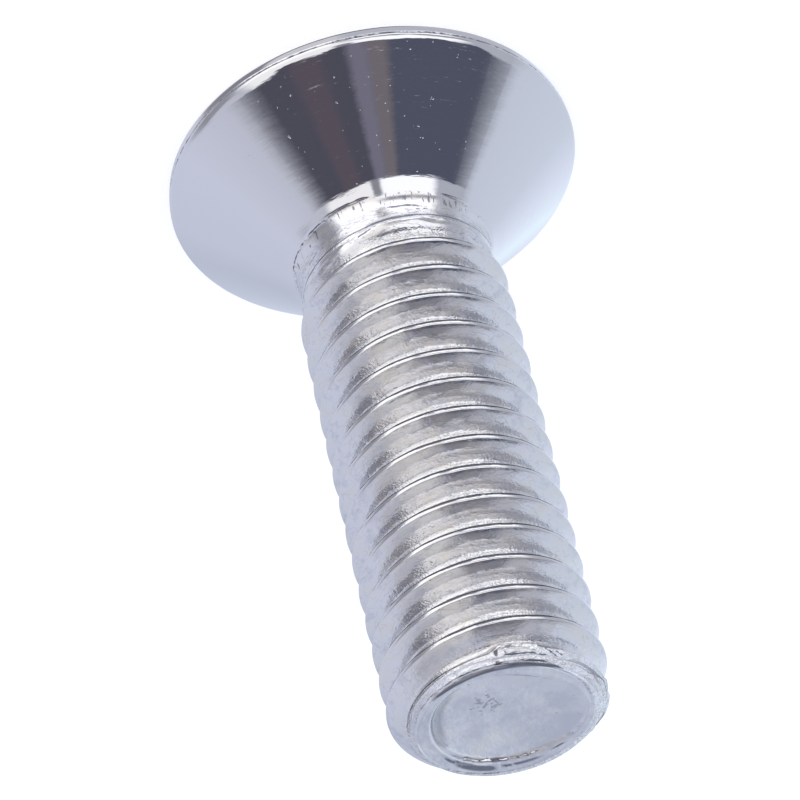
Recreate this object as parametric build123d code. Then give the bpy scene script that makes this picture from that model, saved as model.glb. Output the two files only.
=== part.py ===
from build123d import *
import math
import os

# Countersunk socket screw, one piece of steel, in millimetres.
# It stands on its head: the flat face of the head is on Z = 0, centred on the origin, and +Z runs
# along the axis to the threaded tip.

# Head: a flat face, a narrow upright rim and a cone down to the neck
head_diameter = 11.6
head_rim_height = 0.4
head_rim_radius = 0.3
head_face_edge_radius = 0.1
head_cone_angle = 90.0
under_head_radius = 1.3

# Hex socket in the face, with a bevelled mouth and a conical bottom
socket_width = 4.0
socket_depth = 2.5
socket_mouth_bevel = 0.04
socket_mouth_angle = 90.0
socket_ledge_width = 0.2
socket_bottom_angle = 120.0

# Shank: a plain neck, and a right-hand thread that rises out of it
screw_length = 19.35
thread_diameter = 5.9
thread_pitch = 1.0
thread_flank_angle = 60.0
thread_crest_width = 0.125
thread_root_width = 0.25
thread_runout = 2.0
neck_length = 0.1
neck_shoulder_angle = 60.0

# Tip: a bevel that cuts into the last turns, and a shallow cup in the end face
tip_inset = 0.1
tip_bevel_angle = 90.0
tip_edge_radius = 0.1
tip_lip_width = 0.3
tip_cup_depth = 0.12
tip_cup_edge_radius = 0.12
tip_cup_wall_angle = 90.0

# How far a cutter runs past what it cuts, and a joined body into what carries it
overlap = 0.1


def cone_run(rise, full_angle):
    """Length along the axis in which a cone of this full angle changes its radius by rise."""
    return rise / math.tan(math.radians(full_angle / 2))


head_radius = head_diameter / 2
crest_radius = thread_diameter / 2
flank_slope = math.tan(math.radians(thread_flank_angle / 2))
thread_depth = (thread_pitch - thread_crest_width - thread_root_width) / 2 / flank_slope
root_radius = crest_radius - thread_depth
# Rolling moves metal from the roots to the crests, so the neck keeps the mean of the two
neck_radius = (crest_radius + root_radius) / 2
# The cone meets the neck at neck_start, and the fillet between them reaches fillet_end
neck_start = head_rim_height + cone_run(head_radius - neck_radius, head_cone_angle)
fillet_end = neck_start + under_head_radius * math.tan(math.radians(head_cone_angle / 4))
thread_start = fillet_end + neck_length
tip_radius = root_radius - tip_inset
cup_radius = tip_radius - tip_lip_width
# The ridge starts inside the neck and runs past the tip, where the bevel cuts it off
ridge_start = thread_start - thread_pitch / 2
ridge_end = screw_length + thread_pitch


def turned(*corners, radius):
    """Solid turned about Z from an outline that starts and ends on the axis."""
    outline = FilletPolyline(*corners, radius=radius)
    section = make_face(outline + Line(outline @ 1, outline @ 0))
    return revolve(Plane.XZ * section, Axis.Z)


def headed_blank():
    """Head and neck, down to a shoulder that ends inside the core of the thread."""
    shoulder_start = thread_start + thread_pitch / 2
    end = shoulder_start + cone_run(neck_radius - root_radius + overlap, neck_shoulder_angle)
    return turned(
        (0, 0),
        (head_radius, 0),
        (head_radius, head_rim_height),
        (neck_radius, neck_start),
        (neck_radius, shoulder_start),
        (root_radius - overlap, end),
        (0, end),
        radius=[head_face_edge_radius, head_rim_radius, under_head_radius, 0, 0],
    )


def threaded_rod():
    """Core and helical ridge of the thread, with lower crests over the first turns."""
    path = Helix(
        pitch=thread_pitch,
        height=ridge_end - ridge_start,
        radius=root_radius,
        center=(0, 0, ridge_start),
    )
    crest_half = thread_crest_width / 2
    base_half = crest_half + flank_slope * (thread_depth + overlap)
    section = Polygon(
        (-overlap, -base_half),
        (thread_depth, -crest_half),
        (thread_depth, crest_half),
        (-overlap, base_half),
        align=None,
    )
    at_start = Plane(origin=(root_radius, 0, ridge_start), x_dir=(1, 0, 0), z_dir=(0, -1, 0))
    ridge = sweep(at_start * section, path=path, is_frenet=True)
    core_start = ridge_start - thread_pitch
    core_length = ridge_end + thread_pitch - core_start
    core = Cylinder(root_radius, core_length, align=(Align.CENTER, Align.CENTER, Align.MIN))
    return Pos(0, 0, core_start) * core + ridge - runout_cutter()


def runout_cutter():
    """Conical ring that takes the crests down to the neck at thread_start, and lower before it."""
    growth = (crest_radius - neck_radius) / thread_runout
    low = ridge_start - thread_pitch
    high = thread_start + thread_runout + overlap / growth
    outside = crest_radius + 2 * overlap
    ring = Polygon(
        (neck_radius + growth * (low - thread_start), low),
        (outside, low),
        (outside, high),
        (neck_radius + growth * (high - thread_start), high),
        align=None,
    )
    return revolve(Plane.XZ * ring, Axis.Z)


def tip_cutter():
    """Everything past the end face and outside the bevel."""
    outside = crest_radius + overlap
    bevel_start = screw_length - cone_run(outside - tip_radius, tip_bevel_angle)
    beyond = ridge_end + 2 * thread_pitch
    return turned(
        (0, screw_length),
        (tip_radius, screw_length),
        (outside, bevel_start),
        (outside, beyond),
        (0, beyond),
        radius=[tip_edge_radius, 0, 0],
    )


def tip_cup():
    """Shallow dish that thread rolling leaves in the end face."""
    floor = screw_length - tip_cup_depth
    wall_slope = math.tan(math.radians(tip_cup_wall_angle / 2))
    return turned(
        (0, floor),
        (cup_radius - tip_cup_depth * wall_slope, floor),
        (cup_radius + overlap * wall_slope, screw_length + overlap),
        (0, screw_length + overlap),
        radius=[tip_cup_edge_radius, 0],
    )


def hex_socket():
    """Hex hole with a bevelled mouth and a conical bottom."""
    hexagon = RegularPolygon(socket_width / 2, side_count=6, major_radius=False)
    hole = extrude(Pos(0, 0, -overlap) * hexagon, socket_depth + overlap)
    bottom_radius = socket_width / 2 - socket_ledge_width
    bottom = turned(
        (0, socket_depth - overlap),
        (bottom_radius, socket_depth - overlap),
        (bottom_radius, socket_depth),
        (0, socket_depth + cone_run(bottom_radius, socket_bottom_angle)),
        radius=[0, 0],
    )
    corner_radius = socket_width / 2 / math.cos(math.radians(30))
    mouth_radius = corner_radius + socket_mouth_bevel
    wall_slope = math.tan(math.radians(socket_mouth_angle / 2))
    mouth = turned(
        (0, -overlap),
        (mouth_radius + overlap * wall_slope, -overlap),
        (0, cone_run(mouth_radius, socket_mouth_angle)),
        radius=[0],
    )
    return hole + bottom + mouth


# The turned blank has its seam on the far side from the start of the ridge
threaded = Rot(0, 0, 180) * headed_blank() + threaded_rod()
screw = threaded - tip_cutter() - tip_cup() - hex_socket()
screw.label = "countersunk_screw"

os.makedirs("parts", exist_ok=True)
export_step(screw, "parts/countersunk_screw.step")
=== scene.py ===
import math
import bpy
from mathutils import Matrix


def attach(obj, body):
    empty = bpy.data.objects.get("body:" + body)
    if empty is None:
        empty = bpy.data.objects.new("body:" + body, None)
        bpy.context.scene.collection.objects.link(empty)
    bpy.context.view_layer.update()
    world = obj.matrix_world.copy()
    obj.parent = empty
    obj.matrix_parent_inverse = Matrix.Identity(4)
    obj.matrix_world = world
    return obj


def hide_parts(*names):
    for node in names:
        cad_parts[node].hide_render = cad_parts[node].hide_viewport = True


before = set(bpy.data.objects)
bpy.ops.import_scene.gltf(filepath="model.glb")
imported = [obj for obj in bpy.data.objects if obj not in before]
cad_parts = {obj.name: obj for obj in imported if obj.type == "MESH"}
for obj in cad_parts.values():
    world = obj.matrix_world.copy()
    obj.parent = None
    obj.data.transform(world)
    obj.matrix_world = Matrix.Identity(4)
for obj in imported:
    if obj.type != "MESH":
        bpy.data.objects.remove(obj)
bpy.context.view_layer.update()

from types import SimpleNamespace

import bmesh
import bpy
from mathutils import Matrix, Vector, noise

bpy.ops.object.select_all(action="DESELECT")

# Sizes are in millimetres and heights are above the flat face of the head, unless a comment says otherwise.
# In the shapes, a pair whose name ends in FROM says where something begins and where it is full, and one
# that ends in TO where it begins to fade and where it is gone
MM = 0.001
FULL_TURN = 2 * math.pi

# The side of the screw that faces the camera, as an angle round the axis from +X. A "side" below
# is degrees from there, -180 to 180, positive on the left of the view
NEAR_SIDE = math.radians(251.2)

# Head
HEAD_RADIUS = 5.8
CONE_TOP = 3.12
CONE_TOP_RADIUS = 3.08
CONE_FOOT = 0.48
CONE_RINGS = 24
# The sides where the fillet has no step
STEPLESS_FROM = (-44, -32)
STEPLESS_TO = (3, 10)
# The fillet between neck and cone: (height, radius where it ends in a fine step, plain radius)
FILLET = (
    (3.72, 2.725, 2.730), (3.63, 2.732, 2.745), (3.56, 2.740, 2.765), (3.50, 2.750, 2.790),
    (3.455, 2.775, 2.815), (3.43, 2.815, 2.832), (3.40, 2.845, 2.855), (3.345, 2.885, 2.897),
    (3.28, 2.940, 2.949), (3.20, 3.005, 3.014), (CONE_TOP, CONE_TOP_RADIUS, CONE_TOP_RADIUS),
)
# The rim: a rounded edge, a fine groove, and a band that leans in towards the face: (radius, height)
RIM = (
    (5.745, 0.455), (5.757, 0.440), (5.769, 0.423), (5.780, 0.403), (5.789, 0.380), (5.7985, 0.356),
    (HEAD_RADIUS, 0.348), (HEAD_RADIUS, 0.297), (5.787, 0.277), (5.785, 0.254), (5.797, 0.238),
    (5.7955, 0.228), (5.786, 0.15), (5.776, 0.08), (5.765, 0.028), (5.74, 0.006),
)
RIM_INSET = 0.003
RIM_WAVES_FROM = (0.10, 0.24)
RIM_WAVES_RADIUS = 6
FACE_RADII = (5.70, 5.2, 4.4, 3.6, 3.0, 2.6, 2.40)
# Painted shade lies in the rim's groove and, with this share of it, on the lower edge, in patches
RIM_SHADE_OUTSIDE = 5.7
RIM_SHADE_BELOW = 0.31
GROOVE_SHADE_FROM = (0.235, 0.25)
EDGE_SHADE_TO = (0.01, 0.04)
EDGE_SHADE_SHARE = 0.4
RIM_SHADE_MEAN = 0.6

# Hex socket with a drill point at its bottom
SOCKET_HALF = 2.0
SOCKET_DEPTH = 2.5
SOCKET_MOUTH_RADIUS = SOCKET_HALF / math.cos(math.radians(30)) + 0.04
SOCKET_RINGS = (0.6, 1.1, 1.7, 2.2)
SOCKET_CORNER = 0.02
DRILL_RADIUS = 1.8
DRILL_HALF_ANGLE = math.radians(60)
DRILL_END = SOCKET_DEPTH + DRILL_RADIUS / math.tan(DRILL_HALF_ANGLE)
DRILL_RINGS = 8

# Neck
NECK_RADIUS = 2.72
NECK_END = 3.80
NECK_CUT = 3.86

# Thread
PITCH = 1.0
TURNS = 17
STEPS_PER_TURN = 144
FIRST_CREST = 3.66
ROOT_RADIUS = 2.409
ROOT_ROUND = 0.168
ROOT_ARC = (63, 48, 32, 16, 0, -16, -32, -48, -60)
# From the middle of the crest to the flank on the tip side: (distance along the axis, radius)
CREST_TIP_SIDE = (
    (0.0, 2.949), (0.03, 2.95), (0.058, 2.947), (0.072, 2.940), (0.086, 2.924), (0.108, 2.897),
    (0.135, 2.862), (0.16, 2.829), (0.20, 2.773), (0.24, 2.713), (0.28, 2.647), (0.32, 2.572),
)
# The same on the head side, from the flank up, where the dies fold a thin lap beside the crest
CREST_HEAD_SIDE = (
    (0.30, 2.565), (0.22, 2.69), (0.15, 2.80), (0.112, 2.870), (0.095, 2.908), (0.080, 2.922),
    (0.066, 2.905), (0.052, 2.907), (0.038, 2.937), (0.018, 2.946), (0.0, 2.949),
)
# The ridges grow out of the neck between these heights, and start higher where the die starts
RUNOUT_START = NECK_CUT + 0.05
RUNOUT_END = 5.45
DIE_DELAY = 0.62
DIE_DELAY_FROM = (-2, 26)
DIE_DELAY_TO = (60, 130)
# The marks of rolling fade towards both ends, which stay as cut for the rings that are joined to them
MARKS_FROM = (NECK_CUT + 0.02, NECK_CUT + 0.35)
MARKS_TO = (18.85, 18.97)
# Up to the first of these heights the ridges are fresh and rough, and from the second they are smoother
FRESH_RIDGES = (4.6, 6.2)
SMOOTH_ROUGHNESS = 0.004
FRESH_ROUGHNESS = 0.013

# Tip
TIP_CUT = 18.98
TIP = 19.35
# The end face's outer edge: its radius, and how much less that is on the near side and on the left
END_RADIUS = 2.39
END_LESS_NEAR = 0.12
END_LESS_LEFT = 0.09
# Metal that is pressed over the last groove on the near side, and the bottom of that groove elsewhere
PRESSED_RADIUS = 2.67
GROOVE_RADIUS = 2.0
PRESSED_FROM = (-60, -25)
PRESSED_TO = (-8, 14)
PRESSED_HEIGHT_FROM = (18.55, 18.93)
# How far the bevel stands out from the end's outer edge, by height. Rolling leaves three rounded
# lips with ledges between
TIP_LIPS = (
    (18.80, 0.70), (18.93, 0.44), (18.955, 0.40), (18.975, 0.30), (18.985, 0.28), (19.12, 0.22),
    (19.132, 0.155), (19.235, 0.105), (19.247, 0.05), (19.315, 0.01), (19.338, 0.0),
)
# Rings of the bevel: (height, crinkles from 0 to 1)
BEVEL_RINGS = (
    (18.985, 0.2), (19.02, 0.6), (19.06, 0.9), (19.09, 1.0), (19.118, 1.0), (19.132, 1.0),
    (19.165, 1.0), (19.20, 1.0), (19.233, 1.0), (19.247, 1.0), (19.28, 0.9), (19.315, 0.7),
    (19.338, 0.25),
)
CROSS_CRACK_SIDE = -4
CROSS_CRACK_WIDTH = 2.2
CROSS_CRACK_DEPTH = 0.045
# Rings of the end face: (share of the way from its outer edge to the cup, depth below the tip)
END_RINGS = (
    (0.06, 0.004), (0.16, 0.0), (0.32, 0.0), (0.5, 0.0), (0.68, 0.0), (0.82, 0.0), (0.93, 0.005),
)
# How far the end face dips between its edges, and what the torn far side adds
END_DIP = 0.006
FAR_DIP = 0.0204
FAR_SIDE_FROM = (92, 112)
# Rings of the cup's wall: (share of the way down its slope, depth below the tip)
CUP_DEPTH = 0.12
CUP_WALL = ((0.0, 0.018), (0.17, 0.05), (0.38, 0.085), (0.65, 0.108), (1.0, CUP_DEPTH))
CUP_DISH = 0.03
CUP_FLOOR_RINGS = 15
CUP_FLOOR_WAVES_FROM = (0, 0.2)
# Width of the cup's wall, and what is added where it is soft
CUP_SLOPE = 0.12
CUP_SOFT_SLOPE = 0.40
CUP_SOFT_FROM = (-165, -130)
CUP_SOFT_TO = (-40, 5)
# The cup's upper edge is torn on the far side, and stays this far below the tip
TORN_SIDE_FROM = (96, 112)
TORN_DROP = 0.015
CUP_EDGE_BELOW = 0.002
# The cup's radius is a mean and waves of 1, 2 and 3 to the turn: (cosine, sine)
CUP_RADIUS = 1.963
CUP_WAVES = ((0.033, -0.068), (-0.049, 0.081), (0.028, 0.053))

# Unevenness, in layers of (height, size, stretch along the axis, seed)
TIP_WAVES_RADIUS = 2.4
ROLLING_MARKS = ((1.0, 0.42, 2.2, 3.1), (0.5, 0.17, 2.5, 8.4))
CREST_WANDER = ((0.012, 0.9, 1, 5.0), (0.008, 0.3, 1, 1.7))
LIP_CRINKLES = ((0.020, 0.30, 2, 4.0), (0.012, 0.14, 3, 6.0))
LIP_SHIFT = ((0.03, 0.55, 0, 2.0),)
END_WAVE = ((0.006, 0.5, 0, 7.0),)
FAR_LIP_WAVE = ((0.034, 0.15, 2, 3.0),)
TORN_OUT = ((0.05, 0.16, 2, 8.0),)
TORN_DOWN = ((0.03, 0.12, 3, 5.0),)
CUP_FLOOR_WAVES = ((0.010, 0.8, 0, 9.0), (0.004, 0.3, 0, 2.0))
RIM_WAVES = ((0.016, 1.6, 0, 2.0), (0.008, 0.5, 1, 5.0))
RIM_DENTS = ((0.003, 0.7, 1, 8.0),)
FOLD_WANDER = ((0.035, 0.35, 1, 6.0),)
RIM_SHADE_PATCHES = ((0.3, 0.8, 0, 4.0),)

# Folds and cracks that rolling leaves at both ends of the thread, pressed into the mesh and darkened with
# painted shade, and a band of painted shade on the cup's wall: half width, strength from 0 to 1, and a line
# of (side, radius, height)
FOLDS_AND_SHADE = (
    # under the head
    (0.030, 1, ((6, 2.74, 3.86), (-8, 2.75, 3.85), (-22, 2.75, 3.89), (-34, 2.77, 3.97), (-50, 2.80, 4.12))),
    (0.034, 1, ((7, 2.76, 4.02), (0, 2.76, 3.97), (-10, 2.78, 4.02), (-22, 2.76, 4.00), (-38, 2.76, 4.06))),
    (0.026, 0.7, ((2, 2.80, 4.36), (12, 2.76, 4.51), (22, 2.75, 4.64), (32, 2.75, 4.72), (44, 2.75, 4.76))),
    (0.018, 0.9, ((8, 2.82, 3.43), (16, 2.82, 3.43), (26, 2.80, 3.44), (60, 2.80, 3.44), (90, 2.80, 3.44))),
    # between the tip's lips
    (0.020, 1, ((38, 2.52, 19.13), (20, 2.50, 19.13), (4, 2.48, 19.125))),
    (0.018, 0.8, ((30, 2.56, 19.05), (16, 2.54, 19.06), (4, 2.52, 19.05))),
    (0.026, 1, ((-4, 2.48, 19.12), (-16, 2.50, 19.13), (-30, 2.52, 19.13), (-42, 2.56, 19.14))),
    (0.018, 0.9, ((-8, 2.52, 19.05), (-20, 2.54, 19.06), (-34, 2.56, 19.05))),
    (0.022, 1, ((-6, 2.38, 19.235), (-18, 2.38, 19.245), (-32, 2.40, 19.235), (-44, 2.44, 19.24))),
    # across them
    (0.030, 1, ((-3, 2.58, 18.96), (-5, 2.45, 19.15), (-3, 2.29, 19.31))),
    (0.026, 1, ((-10, 2.62, 18.94), (-9, 2.50, 19.08), (-11, 2.44, 19.20))),
    (0.022, 0.9, ((-32, 2.62, 18.99), (-38, 2.56, 19.10), (-44, 2.50, 19.20))),
    (0.020, 0.9, ((-38, 2.66, 18.99), (-43, 2.60, 19.07), (-47, 2.56, 19.14))),
    # above and below them
    (0.022, 0.9, (
        (24, 2.62, 18.98), (8, 2.60, 18.96), (-10, 2.62, 18.95), (-26, 2.64, 18.95), (-36, 2.66, 18.97),
    )),
    (0.045, 1, (
        (46, 2.24, 19.30), (28, 2.25, 19.335), (10, 2.26, 19.34), (-12, 2.29, 19.34), (-34, 2.34, 19.335),
        (-48, 2.40, 19.33),
    )),
    # the cup's wall: a band of painted shade, not a fold
    (0.130, 0.40, ((30, 1.96, 19.25), (60, 1.85, 19.25), (90, 1.75, 19.25), (114, 1.77, 19.25))),
    # the far lip
    (0.034, 1, (
        (112, 2.08, 19.345), (123, 2.06, 19.345), (134, 2.00, 19.345), (146, 2.01, 19.345),
        (158, 2.07, 19.345), (172, 2.10, 19.345),
    )),
    (0.026, 1, (
        (128, 2.10, 19.34), (142, 2.12, 19.34), (156, 2.16, 19.34), (166, 2.13, 19.34),
        (178, 2.04, 19.345), (190, 2.03, 19.345),
    )),
    (0.020, 0.9, ((180, 2.06, 19.34), (200, 2.08, 19.34), (224, 2.11, 19.34))),
)
FOLD_STEP = 3
FOLD_REACH = 0.4
# A fold is full up to the first of these multiples of its half width and gone at the second
FOLD_EDGE = (0.6, 2.2)
# Its width at its ends, as a share of the full one, and how fast it grows from there
FOLD_END_WIDTH = 0.35
FOLD_TAPER = 3.0
NECK_FOLDS_FROM = 3.3
NECK_FOLDS_TO = 4.9
TIP_FOLDS_FROM = 18.9
# How deep a fold is pressed into the shank, and into the tip from this height
SHANK_FOLD_DEPTH = 0.012
TIP_FOLD_DEPTH = 0.006
TIP_FOLD_HEIGHT = 19.0

# Limits of the modelling
FIRST_POINT_SIZE = 0.1
JOIN_WITHIN = 0.001
CUT_WITHIN = 0.0005
SAME_HEIGHT = 0.01
SHARP_ANGLE = math.radians(50)


# ---------------------------------------------------------------- small helpers
def smooth_step(value, start, end):
    """0 up to start, 1 from end, smooth between."""
    t = min(1.0, max(0.0, (value - start) / (end - start)))
    return t * t * (3 - 2 * t)


def mix(a, b, amount):
    return a + (b - a) * amount


def along(table, height):
    """Value of a (height, value) table at this height."""
    if height <= table[0][0]:
        return table[0][1]
    for (h0, v0), (h1, v1) in zip(table, table[1:]):
        if height <= h1:
            return mix(v0, v1, (height - h0) / (h1 - h0))
    return table[-1][1]


def side_of(x, y):
    """Degrees round the axis from the side that faces the camera, -180 to 180."""
    return (math.degrees(math.atan2(y, x) - NEAR_SIDE) + 180) % 360 - 180


def side_at(angle):
    return side_of(math.cos(angle), math.sin(angle))


def uneven(x, y, z, size, seed):
    """Smooth unevenness from -1 to 1, with features of about this size."""
    return noise.noise(Vector((x / size + seed, y / size - seed, z / size + 2 * seed)))


def waves(x, y, z, layers):
    """Sum of layers of unevenness: (height, size, stretch along the axis, seed)."""
    return sum(height * uneven(x, y, z * stretch, size, seed) for height, size, stretch, seed in layers)


def waves_round(angle, z, layers, radius=TIP_WAVES_RADIUS):
    """Waves round the axis, at the tip's radius unless another is given."""
    return waves(radius * math.cos(angle), radius * math.sin(angle), z, layers)


# ---------------------------------------------------------------- rings of the open mesh
def select_end(o, height):
    """Selects the open edge at this height."""
    bpy.ops.object.mode_set(mode="OBJECT")
    bm = bmesh.new()
    bm.from_mesh(o.data)
    for part in (bm.faces, bm.edges, bm.verts):
        for element in part:
            element.select = False
    for e in bm.edges:
        if e.is_boundary and all(abs(v.co.z / MM - height) < SAME_HEIGHT for v in e.verts):
            e.select = True
    bm.to_mesh(o.data)
    bm.free()
    bpy.ops.object.mode_set(mode="EDIT")
    bpy.ops.mesh.select_mode(type="EDGE")


def next_ring(o, place):
    """Extrudes the selected ring and puts each point at the (radius, height) of place(angle, old radius)."""
    bpy.ops.mesh.extrude_region_move(TRANSFORM_OT_translate={"value": (0, 0, 0)})
    bm = bmesh.from_edit_mesh(o.data)
    for v in bm.verts:
        if v.select:
            x, y = v.co.x / MM, v.co.y / MM
            angle = math.atan2(y, x)
            r, z = place(angle, math.hypot(x, y))
            v.co = Vector((r * math.cos(angle), r * math.sin(angle), z)) * MM
    bmesh.update_edit_mesh(o.data)


def round_ring(radius, height):
    return lambda angle, old_radius: (radius, height)


def close_ring(o, height):
    """Closes the selected ring with faces that meet at the axis."""
    bpy.ops.mesh.extrude_region_move(TRANSFORM_OT_translate={"value": (0, 0, 0)})
    bpy.ops.mesh.merge(type="CENTER")
    bm = bmesh.from_edit_mesh(o.data)
    for v in bm.verts:
        if v.select:
            v.co = Vector((0, 0, height)) * MM
    bmesh.update_edit_mesh(o.data)
    bpy.ops.object.mode_set(mode="OBJECT")


# ---------------------------------------------------------------- thread
def rolled_form():
    """One pitch of the thread's form, crest to crest: (along the axis, radius)."""
    form = list(CREST_TIP_SIDE)
    for degrees in ROOT_ARC:
        t = math.radians(degrees)
        along_axis = PITCH / 2 - ROOT_ROUND * math.sin(t)
        form.append((along_axis, ROOT_RADIUS + ROOT_ROUND * (1 - math.cos(t))))
    return form + [(PITCH - s, r) for s, r in CREST_HEAD_SIDE]


ROLLED_FORM = rolled_form()


def thread_radius(angle, z):
    """Radius of the rolled thread at this place."""
    return along(ROLLED_FORM, (z - FIRST_CREST - angle / FULL_TURN) % PITCH)


def lay_form(start):
    """The rolled form as a chain of edges, drawn at angle 0 from this height up."""
    s, r = ROLLED_FORM[0]
    bpy.ops.mesh.primitive_plane_add(size=FIRST_POINT_SIZE * MM, location=(r * MM, 0, (start + s) * MM))
    o = bpy.context.object
    bpy.ops.object.transform_apply(location=True)
    bpy.ops.object.mode_set(mode="EDIT")
    bpy.ops.mesh.select_all(action="SELECT")
    bpy.ops.mesh.merge(type="CENTER")
    for s_next, r_next in ROLLED_FORM[1:]:
        step = ((r_next - r) * MM, 0, (s_next - s) * MM)
        bpy.ops.mesh.extrude_region_move(TRANSFORM_OT_translate={"value": step})
        s, r = s_next, r_next
    bpy.ops.object.mode_set(mode="OBJECT")
    return o


def roll_thread(o):
    """Sweeps the form along its helix, joins the turns and cuts both ends level."""
    turned = o.modifiers.new("thread", "SCREW")
    turned.axis = "Z"
    turned.angle = FULL_TURN
    turned.screw_offset = PITCH * MM
    turned.steps = turned.render_steps = STEPS_PER_TURN
    turned.iterations = TURNS
    turned.use_merge_vertices = False
    bpy.ops.object.modifier_apply(modifier=turned.name)
    bpy.ops.object.mode_set(mode="EDIT")
    bpy.ops.mesh.select_all(action="SELECT")
    bpy.ops.mesh.remove_doubles(threshold=JOIN_WITHIN * MM)
    for height, outer in ((TIP_CUT, True), (NECK_CUT, False)):
        bpy.ops.mesh.select_all(action="SELECT")
        bpy.ops.mesh.bisect(
            plane_co=(0, 0, height * MM),
            plane_no=(0, 0, 1),
            clear_outer=outer,
            clear_inner=not outer,
            threshold=CUT_WITHIN * MM,
        )
    bpy.ops.object.mode_set(mode="OBJECT")


def end_edge(angle):
    """Radius of the end face's outer edge: the end is pressed a little off centre."""
    turn = angle - NEAR_SIDE
    return END_RADIUS - END_LESS_NEAR * math.cos(turn) - END_LESS_LEFT * math.sin(turn)


def bevel(angle, z):
    """Radius of the bevelled tip."""
    return end_edge(angle) + along(TIP_LIPS, z)


def pressed_over(side, z):
    """Radius of the metal that closes the last groove on the near side."""
    there = smooth_step(side, *PRESSED_FROM) * (1 - smooth_step(side, *PRESSED_TO))
    return mix(GROOVE_RADIUS, PRESSED_RADIUS, there * smooth_step(z, *PRESSED_HEIGHT_FROM))


def form_thread(o):
    """Moves the thread's points: runout into the neck, bevelled tip, and the marks of rolling."""
    bm = bmesh.new()
    bm.from_mesh(o.data)
    for v in bm.verts:
        x, y, z = (c / MM for c in v.co)
        r = math.hypot(x, y)
        side = side_of(x, y)
        late = DIE_DELAY * smooth_step(side, *DIE_DELAY_FROM) * (1 - smooth_step(side, *DIE_DELAY_TO))
        grown = smooth_step(z, RUNOUT_START + late, RUNOUT_END)
        new = NECK_RADIUS + (r - NECK_RADIUS) * grown
        inside = smooth_step(z, *MARKS_FROM) * (1 - smooth_step(z, *MARKS_TO))
        fresh = 1 - smooth_step(z, *FRESH_RIDGES)
        roughness = SMOOTH_ROUGHNESS + FRESH_ROUGHNESS * fresh
        new += roughness * waves(x, y, z, ROLLING_MARKS) * inside
        new = max(new, pressed_over(side, z))
        new = min(new, bevel(math.atan2(y, x), z))
        k = new / r
        v.co = Vector((x * k, y * k, z + waves(x, y, z, CREST_WANDER) * inside)) * MM
    bm.to_mesh(o.data)
    bm.free()


# ---------------------------------------------------------------- tip
def bevel_ring(height, crinkles):
    def place(angle, old_radius):
        side = side_at(angle)
        radius = max(thread_radius(angle, height), pressed_over(side, height))
        radius = min(radius, bevel(angle, height))
        radius += crinkles * waves_round(angle, height, LIP_CRINKLES)
        crack = math.exp(-((side - CROSS_CRACK_SIDE) / CROSS_CRACK_WIDTH) ** 2)
        radius -= crinkles * CROSS_CRACK_DEPTH * crack
        return radius, height + crinkles * waves_round(angle, 0, LIP_SHIFT)
    return place


def end_ring(share, drop):
    """A ring of the end face, which dips a little between its edges and is torn on the far side."""
    def place(angle, old_radius):
        far = smooth_step(side_at(angle), *FAR_SIDE_FROM)
        dip = END_DIP + waves_round(angle, 0, END_WAVE)
        dip += far * share * (FAR_DIP + waves_round(angle, share, FAR_LIP_WAVE))
        radius = mix(end_edge(angle), cup_edge(angle), share)
        return radius, TIP - drop - dip * math.sin(math.pi * share)
    return place


def cup_edge(angle):
    """Radius of the cup's edge: nearly round."""
    turn = angle - NEAR_SIDE
    return CUP_RADIUS + sum(
        cosine * math.cos(k * turn) + sine * math.sin(k * turn)
        for k, (cosine, sine) in enumerate(CUP_WAVES, 1)
    )


def cup_slope(angle):
    """Width of the cup's wall, which is wide and soft on the right."""
    side = side_at(angle)
    softer = CUP_SOFT_SLOPE * smooth_step(side, *CUP_SOFT_FROM) * (1 - smooth_step(side, *CUP_SOFT_TO))
    return CUP_SLOPE + softer


def cup_wall_ring(share, drop):
    """A ring of the cup's wall, whose upper edge is torn on the far side."""
    def place(angle, old_radius):
        torn = smooth_step(abs(side_at(angle)), *TORN_SIDE_FROM) * (1 - share)
        out = torn * waves_round(angle, share, TORN_OUT)
        down = torn * (TORN_DROP + waves_round(angle, share, TORN_DOWN))
        radius = cup_edge(angle) - share * cup_slope(angle) + out
        return radius, min(TIP - drop - down, TIP - CUP_EDGE_BELOW)
    return place


def cup_floor_ring(share):
    """A ring of the cup's dished floor, by its share of the floor's radius."""
    def place(angle, old_radius):
        radius = (cup_edge(angle) - cup_slope(angle)) * share
        dish = CUP_DISH * (1 - share * share)
        wave = waves_round(angle, 0, CUP_FLOOR_WAVES, radius) * smooth_step(1 - share, *CUP_FLOOR_WAVES_FROM)
        return radius, TIP - CUP_DEPTH - dish + wave
    return place


def form_tip(o):
    select_end(o, TIP_CUT)
    for height, crinkles in BEVEL_RINGS:
        next_ring(o, bevel_ring(height, crinkles))
    for share, drop in END_RINGS:
        next_ring(o, end_ring(share, drop))
    for share, drop in CUP_WALL:
        next_ring(o, cup_wall_ring(share, drop))
    for k in range(1, CUP_FLOOR_RINGS):
        next_ring(o, cup_floor_ring(1 - k / CUP_FLOOR_RINGS))
    close_ring(o, TIP - CUP_DEPTH - CUP_DISH)


# ---------------------------------------------------------------- neck, head and socket
def fillet_ring(height, stepped, plain):
    def place(angle, old_radius):
        side = side_at(angle)
        stepless = smooth_step(side, *STEPLESS_FROM) * (1 - smooth_step(side, *STEPLESS_TO))
        return mix(stepped, plain, stepless), height
    return place


def rim_ring(radius, height):
    """A ring of the rim, whose upper part waves up and down."""
    def place(angle, old_radius):
        x, y = RIM_WAVES_RADIUS * math.cos(angle), RIM_WAVES_RADIUS * math.sin(angle)
        wave = waves(x, y, height, RIM_WAVES) * smooth_step(height, *RIM_WAVES_FROM)
        return radius - RIM_INSET - waves(x, y, height, RIM_DENTS), height + wave
    return place


def socket_wall(angle):
    """Radius of the hex socket, whose corners lie on X."""
    sixth = math.pi / 3
    return SOCKET_HALF / math.cos((angle % sixth) - sixth / 2)


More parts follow.
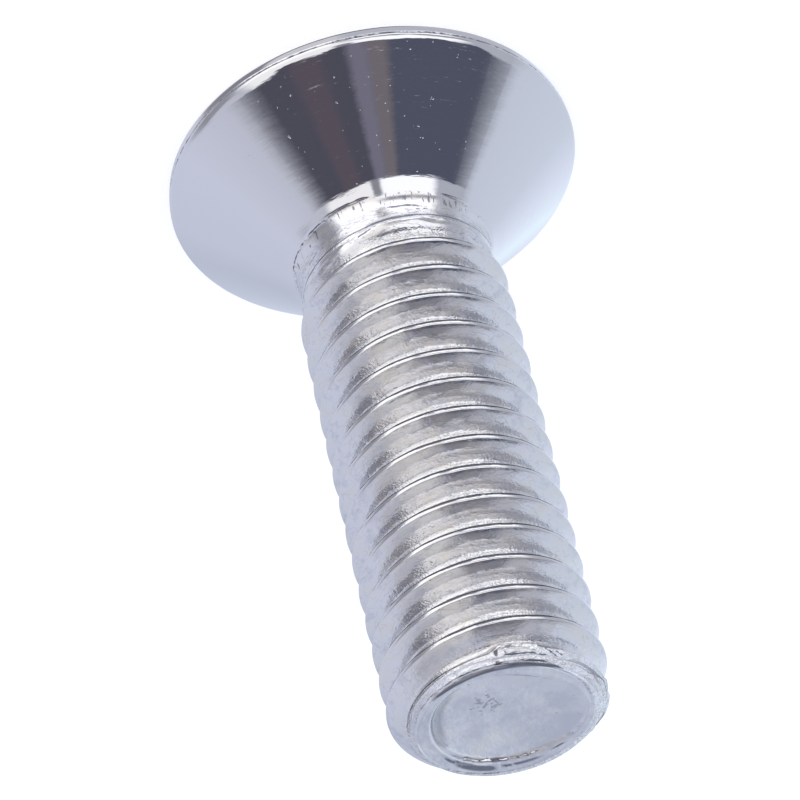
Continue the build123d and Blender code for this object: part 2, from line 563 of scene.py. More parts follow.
def hex_ring(depth, inset=0.0):
    return lambda angle, old_radius: (socket_wall(angle) - inset, depth)


def form_head(o):
    select_end(o, NECK_CUT)
    next_ring(o, lambda angle, old_radius: (old_radius, NECK_END))
    for height, stepped, plain in FILLET:
        next_ring(o, fillet_ring(height, stepped, plain))
    foot_radius = CONE_TOP_RADIUS + CONE_TOP - CONE_FOOT
    for k in range(1, CONE_RINGS + 1):
        share = k / CONE_RINGS
        next_ring(o, round_ring(mix(CONE_TOP_RADIUS, foot_radius, share), mix(CONE_TOP, CONE_FOOT, share)))
    for radius, height in RIM:
        next_ring(o, rim_ring(radius, height))
    for radius in FACE_RADII:
        next_ring(o, round_ring(radius, 0.0))
    # the socket's mouth is chamfered where its corners don't reach
    next_ring(o, round_ring(SOCKET_MOUTH_RADIUS, 0.0))
    next_ring(o, lambda angle, old_radius: (socket_wall(angle), SOCKET_MOUTH_RADIUS - socket_wall(angle)))
    for depth in SOCKET_RINGS:
        next_ring(o, hex_ring(depth))
    next_ring(o, hex_ring(SOCKET_DEPTH - SOCKET_CORNER))
    next_ring(o, hex_ring(SOCKET_DEPTH, SOCKET_CORNER))
    for k in range(DRILL_RINGS):
        share = k / DRILL_RINGS
        next_ring(o, round_ring(DRILL_RADIUS * (1 - share), mix(SOCKET_DEPTH, DRILL_END, share)))
    close_ring(o, DRILL_END)


# ---------------------------------------------------------------- folds
def place_on(side, radius, height):
    angle = NEAR_SIDE + math.radians(side)
    return Vector((radius * math.cos(angle), radius * math.sin(angle), height))


def fold_line(points):
    """The fold's points with more between them, a few degrees apart, so that it follows the round."""
    line = []
    for start, end in zip(points, points[1:]):
        count = max(2, round(abs(end[0] - start[0]) / FOLD_STEP))
        for k in range(count):
            line.append(place_on(*(mix(a, b, k / count) for a, b in zip(start, end))))
    return line + [place_on(*points[-1])]


def fold_depth(at, folds):
    """How deep the deepest fold is at this point, 0 to 1."""
    depth = 0.0
    for width, strength, line in folds:
        for k, (p, q) in enumerate(zip(line, line[1:])):
            if (at - p).length < FOLD_REACH:
                step = q - p
                t = min(1.0, max(0.0, (at - p).dot(step) / step.length_squared))
                far = (at - p - step * t).length
                # narrower towards both ends
                to_end = min(k + t, len(line) - 1 - k - t) / len(line)
                wide = width * min(1.0, FOLD_END_WIDTH + FOLD_TAPER * to_end)
                edge = (wide * multiple for multiple in FOLD_EDGE)
                depth = max(depth, strength * (1 - smooth_step(far, *edge)))
    return depth


def rim_painted_shade(at):
    """Painted shade in the groove and on the lower edge of the rim, 0 to 1."""
    painted_shade = smooth_step(at.z, *GROOVE_SHADE_FROM) + EDGE_SHADE_SHARE * (1 - smooth_step(at.z, *EDGE_SHADE_TO))
    return painted_shade * (RIM_SHADE_MEAN + waves(at.x, at.y, at.z, RIM_SHADE_PATCHES))


def mark_folds(o):
    """Presses the folds in and keeps them, with the rim's painted shade, as the attribute "fold", 0 to 1,
    which the steel darkens as painted shade.
    """
    folds = [(width, strength, fold_line(points)) for width, strength, points in FOLDS_AND_SHADE]
    o.data.attributes.new("fold", "FLOAT", "POINT")
    bm = bmesh.new()
    bm.from_mesh(o.data)
    layer = bm.verts.layers.float["fold"]
    for v in bm.verts:
        at = v.co / MM
        if NECK_FOLDS_FROM < at.z < NECK_FOLDS_TO or at.z > TIP_FOLDS_FROM:
            at = at + Vector((0, 0, waves(at.x, at.y, at.z, FOLD_WANDER)))
            depth = fold_depth(at, folds)
            v[layer] = depth
            pressed = SHANK_FOLD_DEPTH if at.z < TIP_FOLD_HEIGHT else TIP_FOLD_DEPTH
            v.co -= Vector((v.co.x, v.co.y, 0)).normalized() * depth * pressed * MM
        # the rim's painted shade goes into the same attribute
        elif at.z < RIM_SHADE_BELOW and math.hypot(at.x, at.y) > RIM_SHADE_OUTSIDE:
            v[layer] = rim_painted_shade(at)
    bm.to_mesh(o.data)
    bm.free()


def make_screw():
    o = lay_form(FIRST_CREST - PITCH)
    o.name = o.data.name = "screw_body"
    roll_thread(o)
    form_thread(o)
    form_tip(o)
    form_head(o)
    bpy.ops.object.mode_set(mode="EDIT")
    bpy.ops.mesh.select_all(action="SELECT")
    bpy.ops.mesh.normals_make_consistent(inside=False)
    bpy.ops.object.mode_set(mode="OBJECT")
    mark_folds(o)
    bpy.ops.object.shade_smooth_by_angle(angle=SHARP_ANGLE)
    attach(o, "root")
    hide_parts("countersunk_screw")
    return o


# ---------------------------------------------------------------- nodes
class Nodes:
    """Adds and joins the nodes of one material or world."""

    def __init__(self, tree):
        self.tree = tree
        tree.nodes.clear()

    def add(self, kind, **settings):
        node = self.tree.nodes.new(kind)
        for name, value in settings.items():
            setattr(node, name, value)
        return node

    def put(self, socket, value):
        if isinstance(value, bpy.types.NodeSocket):
            self.tree.links.new(value, socket)
        elif isinstance(value, tuple) and socket.type == "RGBA":
            socket.default_value = value + (1.0,)
        else:
            socket.default_value = value

    def math(self, operation, *values):
        node = self.add("ShaderNodeMath", operation=operation)
        for socket, value in zip(node.inputs, values):
            self.put(socket, value)
        return node.outputs[0]

    def chain(self, operation, values):
        result = values[0]
        for value in values[1:]:
            result = self.math(operation, result, value)
        return result

    def plus(self, *values):
        return self.chain("ADD", values)

    def minus(self, a, b):
        return self.math("SUBTRACT", a, b)

    def times(self, *values):
        return self.chain("MULTIPLY", values)

    def most(self, *values):
        return self.chain("MAXIMUM", values)

    def apart(self, a, b):
        return self.math("ABSOLUTE", self.minus(a, b))

    def step(self, value, start, end):
        """0 below start, 1 above end, smooth between; the other way round when end is lower."""
        node = self.add("ShaderNodeMapRange", interpolation_type="SMOOTHSTEP")
        self.put(node.inputs["Value"], value)
        flip = end < start
        node.inputs["From Min"].default_value = min(start, end)
        node.inputs["From Max"].default_value = max(start, end)
        node.inputs["To Min"].default_value = 1.0 if flip else 0.0
        node.inputs["To Max"].default_value = 0.0 if flip else 1.0
        return node.outputs[0]

    def between(self, value, rise, fall):
        """0 outside, 1 inside: it rises over the first pair of values and falls over the second."""
        return self.times(self.step(value, *rise), self.step(value, *fall))

    def blend(self, amount, a, b):
        node = self.add("ShaderNodeMix", data_type="RGBA")
        self.put(node.inputs[0], amount)
        self.put(node.inputs[6], a)
        self.put(node.inputs[7], b)
        return node.outputs[2]


def new_material(name):
    material = bpy.data.materials.new(name)
    material.use_nodes = True
    return material, Nodes(material.node_tree)


# ---------------------------------------------------------------- steel
# Colours of the zinc, of the lips' painted highlight, and of dark marks and painted shade
PLAIN = (0.69, 0.69, 0.71)
CREAM = (0.71, 0.69, 0.675)
DULL = (0.55, 0.55, 0.575)
CLOUDED = (0.60, 0.60, 0.63)
# the lips' painted highlight
LIPS_PAINTED_HIGHLIGHT = (0.90, 0.90, 0.92)
MARKS_AND_SHADE_COLOUR = (0.16, 0.165, 0.20)

# Where the finishes change: (height or radius where a finish is absent, where it is full)
SHANK_FROM = (3.38, 3.46)
THREAD_FROM = (3.80, 4.1)
THREAD_TO = (TIP - 0.12, TIP - 0.3)
YOUNG_TO = (5.4, 4.2)
CREST_FROM = (2.86, 2.93)
ROOT_WITHIN = (2.70, 2.56)
END_FACE_FROM = (TIP - 0.25, TIP - 0.12)
END_FACE_WITHIN = (2.45, 2.35)
LIPS_FROM = (18.94, 18.99)
LIPS_OUTSIDE = (2.28, 2.36)
# where the lips' painted highlight begins, by radius
LIPS_HIGHLIGHT_OUTSIDE = (2.23, 2.30)
TICKS_FROM = (3.42, 3.48)
TICKS_TO = (3.80, 3.70)
CRACKS_FROM = (3.75, 3.9)
# The same as distances from the axis towards the side where the lap's painted shade is deepest
# where the lips' painted highlight begins, towards the near side
LIPS_HIGHLIGHT_TOWARD = (0.8, 1.8)
LAP_SHADE_TOWARD = (2.45, 2.85)
SPECKLED_TOWARD = (1.2, 2.6)

# Patterns of noise: (features per millimetre along x, y and z), detail, roughness
RIPPLES = ((2.6, 2.6, 6.5), 3.0, 0.55)
GRAIN = ((7, 7, 7), 2.0)
DENTS = ((5, 5, 8), 1.0)
MOTTLE = ((1.6, 1.6, 3.2), 4.0, 0.65)
CRACKS = ((1.3, 1.3, 5.5), 2.0, 0.6)
DASHES = ((1.1, 1.1, 9), 3.0, 0.6)
SPECKS = ((9, 9, 9), 1.0)
PRESS_MARKS = ((0.9, 0.9, 5.5), 3.0, 0.55)
FINE_GRAIN = ((15, 15, 22), 1.0)
PLEATS = ((5.5, 5.5, 14), 3.0, 0.6)
CLOUDS = ((0.9, 0.9, 1), 5.0, 0.6)
WANDER = ((1.5, 1.5, 1.5), 3.0, 0.6)
TICKS = ((13, 13, 1.2), 1.0)
PITS = ((6.5, 9, 6.5), 2.0, 0.6)
# Values of a pattern between which what it draws begins and is full
DENTS_SHOW = (0.62, 0.72)
CRACKS_SHOW = (0.016, 0.004)
DASHES_SHOW = (0.64, 0.76)
SPECKS_SHOW = (0.745, 0.83)
TICKS_SHOW = (0.56, 0.66)
TICK_PATCHES_SHOW = (0.46, 0.52)
LAP_SHADE_SHOWS = (0.20, 0.55)
PITS_SHOW = (0.74, 0.82)
FOLDS_AND_SHADE_SHOW = (0.45, 0.70)
FOLD_SHADE_SHOWS = (0.0, 0.7)
CREAM_SHOWS = (0.45, 0.65)
DULL_SHOWS = (0.48, 0.33)
CLOUDS_SHOW = (0.62, 0.40)
SCUFFS_SHOW = (0.35, 0.7)

# How dark each mark is, with the painted shade of folds, end face and lap among them, and how strongly two
# of the colours cover, the second of them the lips' painted highlight
YOUNG_CRACKS_DARK = 0.25
CRACKS_DARK = 0.12
FOLDS_AND_SHADE_DARK = 0.95
FOLD_SHADE_DARK = 0.8
TICKS_DARK = 0.8
LAP_SHADE_DARK = 0.9
PITS_DARK = 0.55
DULL_COVERS = 0.6
LIPS_HIGHLIGHT_COVERS = 0.9
FOLD_RAGGED = 0.9

# Roughness, and what is added or taken
ROLLED_ROUGHNESS = 0.11
SCUFFS_ROUGHER = 0.14
CREST_SMOOTHER = 0.05
HEAD_ROUGHNESS = 0.045
DASHES_ROUGHER = 0.12
LIPS_SMOOTHER = 0.07
MARKS_ROUGHER = 0.2

# Heights of the relief in millimetres, and what the thread's roots add to them
RIPPLES_HIGH = 0.006
GRAIN_HIGH = 0.002
GRAIN_HIGH_IN_ROOT = 0.004
DENTS_DEEP = 0.001
DENTS_DEEP_IN_ROOT = 0.004
FINE_GRAIN_HIGH = 0.002
FINE_GRAIN_HIGH_IN_ROOT = 0.004
SPECKLE_HIGH = 0.009
PLEATS_HIGH = 0.08
PRESS_MARKS_HIGH = 0.006
SPECKS_DEEP = 0.002
MARKS_DEEP = 0.006
END_GRAIN_HIGH = 0.008
# How much of the thread's relief the crests lose, and how much the young ridges keep
CREST_CALM = 0.6
YOUNG_KEEP = 0.5

# The side on which the lap's painted shade is deepest, a little right of the side that faces the camera
LAP_SHADE_SIDE = NEAR_SIDE - math.radians(8)
# The lap's painted shade: its middle beside the crest, how far that wanders, its half width, and what the
# deep side adds
LAP_SHADE_MIDDLE = -0.080
LAP_SHADE_WANDER = 0.050
LAP_SHADE_HALF = 0.014
LAP_SHADE_DEEPER = 0.046
LAP_SHADE_EDGE = (0.012, -0.004)

# The place on the end face where the pits are thickest
PITTED_X = 0.06
PITTED_Y = -0.77
PITTED_REACH = (0.75, 0.1)
PITTED_MORE = 0.22
PITS_MORE = 0.05


def read_places(n):
    """Places on the screw in millimetres, and its zones, each 0 to 1."""
    s = SimpleNamespace()
    s.where = n.add("ShaderNodeTexCoord").outputs["Object"]
    split = n.add("ShaderNodeSeparateXYZ")
    n.put(split.inputs[0], stretched(n, s, (1, 1, 1)))
    s.x, s.y, s.z = split.outputs
    s.radius = n.math("SQRT", n.plus(n.times(s.x, s.x), n.times(s.y, s.y)))
    turn = n.math("DIVIDE", n.math("ARCTAN2", s.y, s.x), FULL_TURN)
    # distance from the nearest crest along the axis, up to half a pitch, and negative on its head side
    s.phase = n.minus(n.math("FRACT", n.plus(n.minus(s.z, turn), 0.5 - FIRST_CREST)), 0.5)
    s.toward = n.plus(n.times(s.x, math.cos(LAP_SHADE_SIDE)), n.times(s.y, math.sin(LAP_SHADE_SIDE)))

    s.shank = n.step(s.z, *SHANK_FROM)
    s.smooth_head = n.minus(1.0, s.shank)
    s.thread = n.between(s.z, THREAD_FROM, THREAD_TO)
    s.young = n.times(s.shank, n.step(s.z, *YOUNG_TO))
    s.crest = n.times(n.step(s.radius, *CREST_FROM), s.thread)
    s.root = n.times(n.step(s.radius, *ROOT_WITHIN), s.thread)
    s.end_face = n.times(n.step(s.z, *END_FACE_FROM), n.step(s.radius, *END_FACE_WITHIN))
    s.lips = n.times(n.step(s.z, *LIPS_FROM), n.step(s.radius, *LIPS_OUTSIDE))
    return s


def stretched(n, s, scale):
    """Object coordinates in features per millimetre."""
    node = n.add("ShaderNodeMapping", vector_type="POINT")
    node.inputs["Scale"].default_value = tuple(k / MM for k in scale)
    n.put(node.inputs["Vector"], s.where)
    return node.outputs[0]


def pattern(n, s, scale, detail, roughness=0.5):
    """Noise with this many features per millimetre along x, y and z."""
    node = n.add("ShaderNodeTexNoise")
    n.put(node.inputs["Vector"], stretched(n, s, scale))
    node.inputs["Scale"].default_value = 1.0
    node.inputs["Detail"].default_value = detail
    node.inputs["Roughness"].default_value = roughness
    return node.outputs["Fac"]


def add_patterns(n, s):
    s.ripples = pattern(n, s, *RIPPLES)
    s.grain = pattern(n, s, *GRAIN)
    s.dents = n.step(pattern(n, s, *DENTS), *DENTS_SHOW)
    s.mottle = pattern(n, s, *MOTTLE)
    s.cracks = n.step(n.apart(pattern(n, s, *CRACKS), 0.5), *CRACKS_SHOW)
    s.dashes = n.step(pattern(n, s, *DASHES), *DASHES_SHOW)
    s.specks = n.step(pattern(n, s, *SPECKS), *SPECKS_SHOW)
    s.pressed = pattern(n, s, *PRESS_MARKS)
    s.fine = pattern(n, s, *FINE_GRAIN)
    s.pleats = pattern(n, s, *PLEATS)
    s.cloud = pattern(n, s, *CLOUDS)
    s.wander = pattern(n, s, *WANDER)
    # the folds' depth, with the painted shade of the rim and of the cup's wall
    s.fold = n.add("ShaderNodeAttribute", attribute_name="fold").outputs["Fac"]
    # fine upright ticks round the neck, in patches
    ticks = n.step(pattern(n, s, *TICKS), *TICKS_SHOW)
    tick_zone = n.times(n.between(s.z, TICKS_FROM, TICKS_TO), n.step(s.wander, *TICK_PATCHES_SHOW))
    s.ticks = n.times(ticks, tick_zone)


def find_lap_shade(n, s):
    """Painted shade in the lap beside the crest, whose middle and width wander."""
    middle = n.plus(LAP_SHADE_MIDDLE, n.times(s.wander, LAP_SHADE_WANDER))
    deep = n.plus(LAP_SHADE_HALF, n.times(n.step(s.toward, *LAP_SHADE_TOWARD), LAP_SHADE_DEEPER))
    half = n.times(n.step(s.mottle, *LAP_SHADE_SHOWS), deep)
    beyond = n.minus(n.apart(s.phase, middle), half)
    return n.times(n.step(beyond, *LAP_SHADE_EDGE), s.thread)


def find_pits(n, s):
    """Pits on the end face, thickest in one place."""
    flat = n.add("ShaderNodeCombineXYZ")
    n.put(flat.inputs[0], n.minus(s.x, PITTED_X))
    n.put(flat.inputs[1], n.minus(s.y, PITTED_Y))
    away = n.add("ShaderNodeVectorMath", operation="LENGTH")
    n.put(away.inputs[0], flat.outputs[0])
    more = n.plus(PITS_MORE, n.times(n.step(away.outputs["Value"], *PITTED_REACH), PITTED_MORE))
    pits = n.step(n.plus(pattern(n, s, *PITS), more), *PITS_SHOW)
    return n.times(pits, s.end_face)


def find_marks_and_shade(n, s):
    """All that is dark, 0 to 1: cracks, ticks and pits, and painted shade in the laps, the folds and the
    rim's groove and edge, and at folds of the end face.
    """
    cracked = n.plus(n.times(s.young, YOUNG_CRACKS_DARK), n.times(s.thread, CRACKS_DARK))
    cracks = n.times(s.cracks, cracked, n.step(s.z, *CRACKS_FROM))
    # painted shade in the folds, on the rim and on the cup's wall, made ragged by the grain
    ragged = n.plus(s.fold, n.times(n.minus(s.grain, 0.5), FOLD_RAGGED))
    folds = n.times(n.step(ragged, *FOLDS_AND_SHADE_SHOW), FOLDS_AND_SHADE_DARK)
    # smooth painted shade on the end face, most of it on the cup's wall
    shade = n.times(n.step(s.fold, *FOLD_SHADE_SHOWS), FOLD_SHADE_DARK, s.end_face)
    ticks = n.times(s.ticks, TICKS_DARK)
    # painted shade in the lap, deepest on the side that faces the camera
    lap_shade = n.times(find_lap_shade(n, s), LAP_SHADE_DARK)
    pits = n.times(find_pits(n, s), PITS_DARK)
    return n.most(cracks, ticks, lap_shade, folds, shade, pits)


def steel_colour(n, s, marks_and_shade):
    colour = n.blend(n.times(n.step(s.mottle, *CREAM_SHOWS), s.shank), PLAIN, CREAM)
    colour = n.blend(n.times(n.step(s.mottle, *DULL_SHOWS), s.thread, DULL_COVERS), colour, DULL)
    colour = n.blend(n.times(n.step(s.cloud, *CLOUDS_SHOW), s.end_face), colour, CLOUDED)
    # a painted highlight on the lips, on the near side
    lips_highlight = n.times(n.step(s.z, *LIPS_FROM), n.step(s.radius, *LIPS_HIGHLIGHT_OUTSIDE))
    lips_highlight = n.times(lips_highlight, n.step(s.toward, *LIPS_HIGHLIGHT_TOWARD))
    colour = n.blend(n.times(lips_highlight, LIPS_HIGHLIGHT_COVERS), colour, LIPS_PAINTED_HIGHLIGHT)
    # dark marks, and painted shade where the marks carry it
    return n.blend(marks_and_shade, colour, MARKS_AND_SHADE_COLOUR)


def steel_roughness(n, s, marks_and_shade):
    rolled = n.plus(ROLLED_ROUGHNESS, n.times(n.step(s.mottle, *SCUFFS_SHOW), SCUFFS_ROUGHER))
    rolled = n.minus(rolled, n.times(s.crest, CREST_SMOOTHER))
    mirror = n.plus(HEAD_ROUGHNESS, n.times(s.dashes, DASHES_ROUGHER))
    rough = n.plus(n.times(s.shank, rolled), n.times(s.smooth_head, mirror))
    rough = n.minus(rough, n.times(s.lips, LIPS_SMOOTHER))
    return n.plus(rough, n.times(marks_and_shade, MARKS_ROUGHER))


def steel_relief(n, s, marks_and_shade):
    """Heights in millimetres that are too fine for the mesh."""
    # the thread is rough in its roots and smoother on its crests
    relief = n.times(s.ripples, RIPPLES_HIGH)
    relief = n.plus(relief, n.times(s.grain, n.plus(GRAIN_HIGH, n.times(s.root, GRAIN_HIGH_IN_ROOT))))
    relief = n.minus(relief, n.times(s.dents, n.plus(DENTS_DEEP, n.times(s.root, DENTS_DEEP_IN_ROOT))))
    speckle = n.plus(FINE_GRAIN_HIGH_IN_ROOT, n.times(n.step(s.toward, *SPECKLED_TOWARD), SPECKLE_HIGH))
    relief = n.plus(relief, n.times(s.fine, n.plus(FINE_GRAIN_HIGH, n.times(s.root, speckle))))
    calm = n.minus(s.thread, n.times(s.crest, CREST_CALM))
    relief = n.times(relief, n.most(calm, n.times(s.young, YOUNG_KEEP)))
    # lips, head and end face have their own
    relief = n.plus(relief, n.times(s.pleats, s.lips, PLEATS_HIGH))
    on_head = n.minus(n.times(s.pressed, PRESS_MARKS_HIGH), n.times(s.specks, SPECKS_DEEP))
    relief = n.plus(relief, n.times(s.smooth_head, on_head))
    relief = n.minus(relief, n.times(n.minus(marks_and_shade, s.ticks), MARKS_DEEP))
    return n.plus(relief, n.times(s.grain, s.end_face, END_GRAIN_HIGH))


def bright_steel():
    """Zinc plated steel: mirror bright on the head, rippled and scuffed where the dies rolled the thread."""
    material, n = new_material("bright_zinc_steel")
    surface = n.add("ShaderNodeBsdfPrincipled")
    surface.inputs["Metallic"].default_value = 1.0
    s = read_places(n)
    add_patterns(n, s)
    marks_and_shade = find_marks_and_shade(n, s)
    n.put(surface.inputs["Base Color"], steel_colour(n, s, marks_and_shade))
    n.put(surface.inputs["Roughness"], steel_roughness(n, s, marks_and_shade))
    bump = n.add("ShaderNodeBump")
    bump.inputs["Strength"].default_value = 1.0
    bump.inputs["Distance"].default_value = MM
    n.put(bump.inputs["Height"], steel_relief(n, s, marks_and_shade))
    n.put(surface.inputs["Normal"], bump.outputs[0])
    out = n.add("ShaderNodeOutputMaterial")
    n.put(out.inputs[0], surface.outputs[0])
    return material


# ---------------------------------------------------------------- camera and floor
VIEW_SIDE = math.radians(-18.8)
VIEW_TILT = math.radians(51.25)
VIEW_ROLL = math.radians(166.67)
CAMERA_PLACE = (-31.1756, -93.7795, 87.6439)
CAMERA_LENS = 210.45
# In millimetres on the film, and in metres from the camera
FILM_WIDTH = 36.0
NEAR_LIMIT = 0.005
FAR_LIMIT = 10.0

# In metres
FLOOR_SIZE = 2.0
FLOOR_HEIGHT = -0.01
FLOOR_COLOUR = (0.5, 0.5, 0.5)
FLOOR_GLOW = 0.70


def place_camera():
    data = bpy.data.cameras.new("camera")
    data.lens = CAMERA_LENS
    data.sensor_width = FILM_WIDTH
    data.clip_start = NEAR_LIMIT
    data.clip_end = FAR_LIMIT
    camera = bpy.data.objects.new("camera", data)
    bpy.context.collection.objects.link(camera)
    turn = Matrix.Rotation(VIEW_SIDE, 4, "Z") @ Matrix.Rotation(VIEW_TILT, 4, "X")
    turn = turn @ Matrix.Rotation(VIEW_ROLL, 4, "Z")
    turn.translation = Vector(CAMERA_PLACE) * MM
    camera.matrix_world = turn
    bpy.context.scene.camera = camera


def lay_floor():
    """White ground. What the metal reflects of it comes from the studio's lower half, which is as pale."""
    bpy.ops.object.select_all(action="DESELECT")
    bpy.ops.mesh.primitive_plane_add(size=FLOOR_SIZE, location=(0, 0, FLOOR_HEIGHT * MM))
    o = bpy.context.object
    o.name = "floor"
    material, n = new_material("floor_white")
    paper = n.add("ShaderNodeBsdfDiffuse")
    n.put(paper.inputs["Color"], FLOOR_COLOUR)
    # the glow is seen by the camera and lights nothing
    glow = n.add("ShaderNodeEmission")
    path = n.add("ShaderNodeLightPath")
    n.put(glow.inputs["Strength"], n.times(path.outputs["Is Camera Ray"], FLOOR_GLOW))
    both = n.add("ShaderNodeAddShader")
    n.put(both.inputs[0], paper.outputs[0])
    n.put(both.inputs[1], glow.outputs[0])
    clear = n.add("ShaderNodeBsdfTransparent")
    shown = n.add("ShaderNodeMixShader")
    n.put(shown.inputs[0], n.most(path.outputs["Is Glossy Ray"], path.outputs["Is Transmission Ray"]))
    n.put(shown.inputs[1], both.outputs[0])
    n.put(shown.inputs[2], clear.outputs[0])
    out = n.add("ShaderNodeOutputMaterial")
    n.put(out.inputs[0], shown.outputs[0])
    o.data.materials.append(material)


# ---------------------------------------------------------------- studio
# Directions are in degrees: to the side, from the camera's side and positive on the left of the view,
# and up from the horizon. A pair or two of them says where a thing begins and is full, and where it
# begins to end and is gone

# The pale walls round the screw: (side, colour)
WALLS = (
    (-180, (0.66, 0.70, 0.84)), (-165, (0.96, 1.10, 1.23)), (-150, (0.91, 0.99, 1.16)),
    (-135, (0.79, 0.87, 1.00)), (-98, (0.74, 0.79, 0.92)), (-90, (0.56, 0.59, 0.67)),
    (-70, (0.55, 0.57, 0.65)), (60, (0.66, 0.68, 0.76)), (75, (0.70, 0.72, 0.84)),
    (105, (0.77, 0.81, 0.96)), (137, (0.73, 0.78, 0.93)), (152, (0.64, 0.69, 0.83)),
    (180, (0.62, 0.68, 0.82)),
)

# The white screen in front of the screw
SCREEN_SIDES = ((-68, -56), (58, 50))
SCREEN_TOP = (46, 41)
SCREEN_WARM_SIDE = (-14, 10)
SCREEN_LIES = (-11, -24)
SCREEN_UPPER = (-4, 6)
GAP_SIDES = (8, 3)
GAP_LOWER_END = (-30, -36)
GAP_UPPER_END = (12, 20)
SCREEN_RIGHT = (0.40, 0.40, 0.43)
SCREEN_LEFT = (1.42, 1.38, 1.34)
SCREEN_ON_GROUND = (1.62, 1.64, 1.70)
SCREEN_UPPER_RIGHT = (1.42, 1.43, 1.48)
SCREEN_UPPER_LEFT = (1.20, 1.20, 1.22)
SCREEN_GAP = (0.34, 0.34, 0.39)
DOORWAY_SIDES = ((50, 66), (98, 78))
DOORWAY_TOP = (26, 16)
DOORWAY = (0.38, 0.38, 0.43)

# The ground close by, in the shade of the screw
SHADE_FROM = (-47, -53)
SHADE_BELOW_FROM = (-70, -78)
SHADE_LEFT_FROM = (-6, 6)
SHADE_FAR_LEFT_SIDES = ((48, 58), (120, 100))
SHADE_RIGHT = (0.62, 0.64, 0.72)
SHADE_LEFT = (0.80, 0.80, 0.86)
SHADE_FAR_LEFT = (0.30, 0.30, 0.36)
SHADE_BELOW = (0.18, 0.18, 0.22)

CEILING_RIGHT = (0.28, 0.28, 0.32)
CEILING_LEFT = (0.80, 0.79, 0.79)
CEILING_SIDES = (0.58, 0.59, 0.66)
CEILING_OVERHEAD = (0.62, 0.65, 0.78)
CEILING_LEFT_FROM = (-22, 18)
CEILING_FAR_LEFT_FROM = (42, 66)
CEILING_FAR_RIGHT_FROM = (-60, -80)
CEILING_OVERHEAD_FROM = (68, 82)
# Where the ceiling begins, in front and at the back, and how soft its edge is
CEILING_FRONT = 52.0
CEILING_BACK = 70.0
CEILING_BACK_FROM = (120, 160)
CEILING_EDGE = (-6, 6)

# The dark room behind the camera, with two warm streaks and a paler one: (side, half width, colour)
ROOM_LEFT = (0.100, 0.100, 0.134)
ROOM_RIGHT = (0.106, 0.116, 0.165)
ROOM_STREAKS = (
    (24, 9, (0.130, 0.110, 0.138)), (-19, 7, (0.215, 0.190, 0.215)), (-8, 6, (0.225, 0.215, 0.285)),
)
ROOM_RIGHT_FROM = (-8, -30)
STREAK_EDGE = (1.5, 0.5)
# The room's outline: its sides, the heights where it begins and ends, how these curve, and its rise
ROOM_SIDES = ((-101, -78), (75, 51))
ROOM_FROM = (41, 45)
ROOM_FROM_CURVE = 0.0023
ROOM_TO = (58, 52)
ROOM_TO_CURVE = 0.003
ROOM_RISE = 7.0
ROOM_RISE_FROM = (5, -15)


def add_walls(n, side):
    walls = n.add("ShaderNodeValToRGB")
    n.put(walls.inputs[0], n.math("DIVIDE", n.plus(side, 180.0), 360.0))
    ramp = walls.color_ramp
    while len(ramp.elements) < len(WALLS):
        ramp.elements.new(0.5)
    for element, (at, tint) in zip(ramp.elements, WALLS):
        element.position = (at + 180) / 360
        element.color = tint + (1.0,)
    return walls.outputs[0]


def add_screen(n, side, up, colour):
    """The screen is brightest where it lies on the ground, and has a dark gap in its middle."""
    doorway = n.times(n.between(side, *DOORWAY_SIDES), n.step(up, *DOORWAY_TOP))
    colour = n.blend(doorway, colour, DOORWAY)
    warm = n.step(side, *SCREEN_WARM_SIDE)
    screen = n.blend(warm, SCREEN_RIGHT, SCREEN_LEFT)
    screen = n.blend(n.step(up, *SCREEN_LIES), screen, SCREEN_ON_GROUND)
    screen = n.blend(n.step(up, *SCREEN_UPPER), screen, n.blend(warm, SCREEN_UPPER_RIGHT, SCREEN_UPPER_LEFT))
    middle = n.step(n.math("ABSOLUTE", side), *GAP_SIDES)
    ends = n.most(n.step(up, *GAP_LOWER_END), n.step(up, *GAP_UPPER_END))
    screen = n.blend(n.times(middle, ends), screen, SCREEN_GAP)
    front = n.times(n.between(side, *SCREEN_SIDES), n.step(up, *SCREEN_TOP))
    return n.blend(front, colour, screen)


def add_shade(n, side, up, colour):
    shade = n.blend(n.step(side, *SHADE_LEFT_FROM), SHADE_RIGHT, SHADE_LEFT)
    shade = n.blend(n.between(side, *SHADE_FAR_LEFT_SIDES), shade, SHADE_FAR_LEFT)
    colour = n.blend(n.step(up, *SHADE_FROM), colour, shade)
    return n.blend(n.step(up, *SHADE_BELOW_FROM), colour, SHADE_BELOW)


def add_ceiling(n, side, up, colour):
    """The ceiling is bright on the left and dark on the right."""
    ceiling = n.blend(n.step(side, *CEILING_LEFT_FROM), CEILING_RIGHT, CEILING_LEFT)
    ceiling = n.blend(n.step(side, *CEILING_FAR_LEFT_FROM), ceiling, CEILING_SIDES)
    ceiling = n.blend(n.step(side, *CEILING_FAR_RIGHT_FROM), ceiling, CEILING_SIDES)
    ceiling = n.blend(n.step(up, *CEILING_OVERHEAD_FROM), ceiling, CEILING_OVERHEAD)
    back = n.step(n.math("ABSOLUTE", side), *CEILING_BACK_FROM)
    begins = n.plus(CEILING_FRONT, n.times(back, CEILING_BACK - CEILING_FRONT))
    return n.blend(n.step(n.minus(up, begins), *CEILING_EDGE), colour, ceiling)


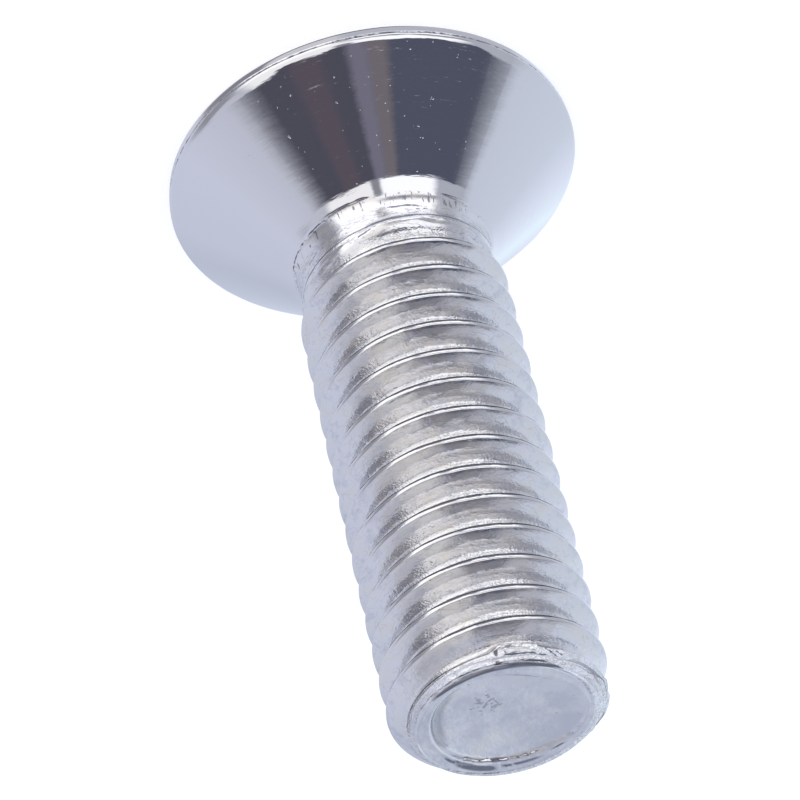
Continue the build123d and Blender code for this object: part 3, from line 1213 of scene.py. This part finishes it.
def add_room(n, side, up, colour):
    """The room's outline is rounded, and it reaches higher on the right."""
    dark = n.blend(n.step(side, *ROOM_RIGHT_FROM), ROOM_LEFT, ROOM_RIGHT)
    for centre, half, tint in ROOM_STREAKS:
        edge = (half * multiple for multiple in STREAK_EDGE)
        dark = n.blend(n.step(n.apart(side, centre), *edge), dark, tint)
    squared = n.times(side, side)
    above = n.step(n.plus(up, n.times(squared, ROOM_FROM_CURVE)), *ROOM_FROM)
    rise = n.minus(n.times(n.step(side, *ROOM_RISE_FROM), ROOM_RISE), n.times(squared, ROOM_TO_CURVE))
    below = n.step(n.minus(up, rise), *ROOM_TO)
    return n.blend(n.times(n.between(side, *ROOM_SIDES), above, below), colour, dark)


def light_studio():
    """A plain soft studio: pale walls, a white screen in front, a grey ceiling and a dark room behind."""
    world = bpy.data.worlds.new("studio")
    bpy.context.scene.world = world
    world.use_nodes = True
    n = Nodes(world.node_tree)
    where = n.add("ShaderNodeTexCoord")
    turned = n.add("ShaderNodeMapping", vector_type="POINT")
    turned.inputs["Rotation"].default_value = (0, 0, -VIEW_SIDE)
    n.put(turned.inputs["Vector"], where.outputs["Generated"])
    split = n.add("ShaderNodeSeparateXYZ")
    n.put(split.inputs[0], turned.outputs[0])
    x, y, z = split.outputs
    degrees = 180 / math.pi
    side = n.times(n.math("ARCTAN2", x, n.times(y, -1.0)), degrees)
    up = n.times(n.math("ARCSINE", z), degrees)

    colour = add_walls(n, side)
    for add_part in (add_screen, add_shade, add_ceiling, add_room):
        colour = add_part(n, side, up, colour)
    # the camera sees plain white
    path = n.add("ShaderNodeLightPath")
    colour = n.blend(path.outputs["Is Camera Ray"], colour, (1.0, 1.0, 1.0))
    sky = n.add("ShaderNodeBackground")
    n.put(sky.inputs["Color"], colour)
    out = n.add("ShaderNodeOutputWorld")
    n.put(out.inputs[0], sky.outputs[0])


place_camera()
screw = make_screw()
screw.data.materials.clear()
screw.data.materials.append(bright_steel())
lay_floor()
light_studio()

bpy.context.scene.view_settings.view_transform = "Standard"
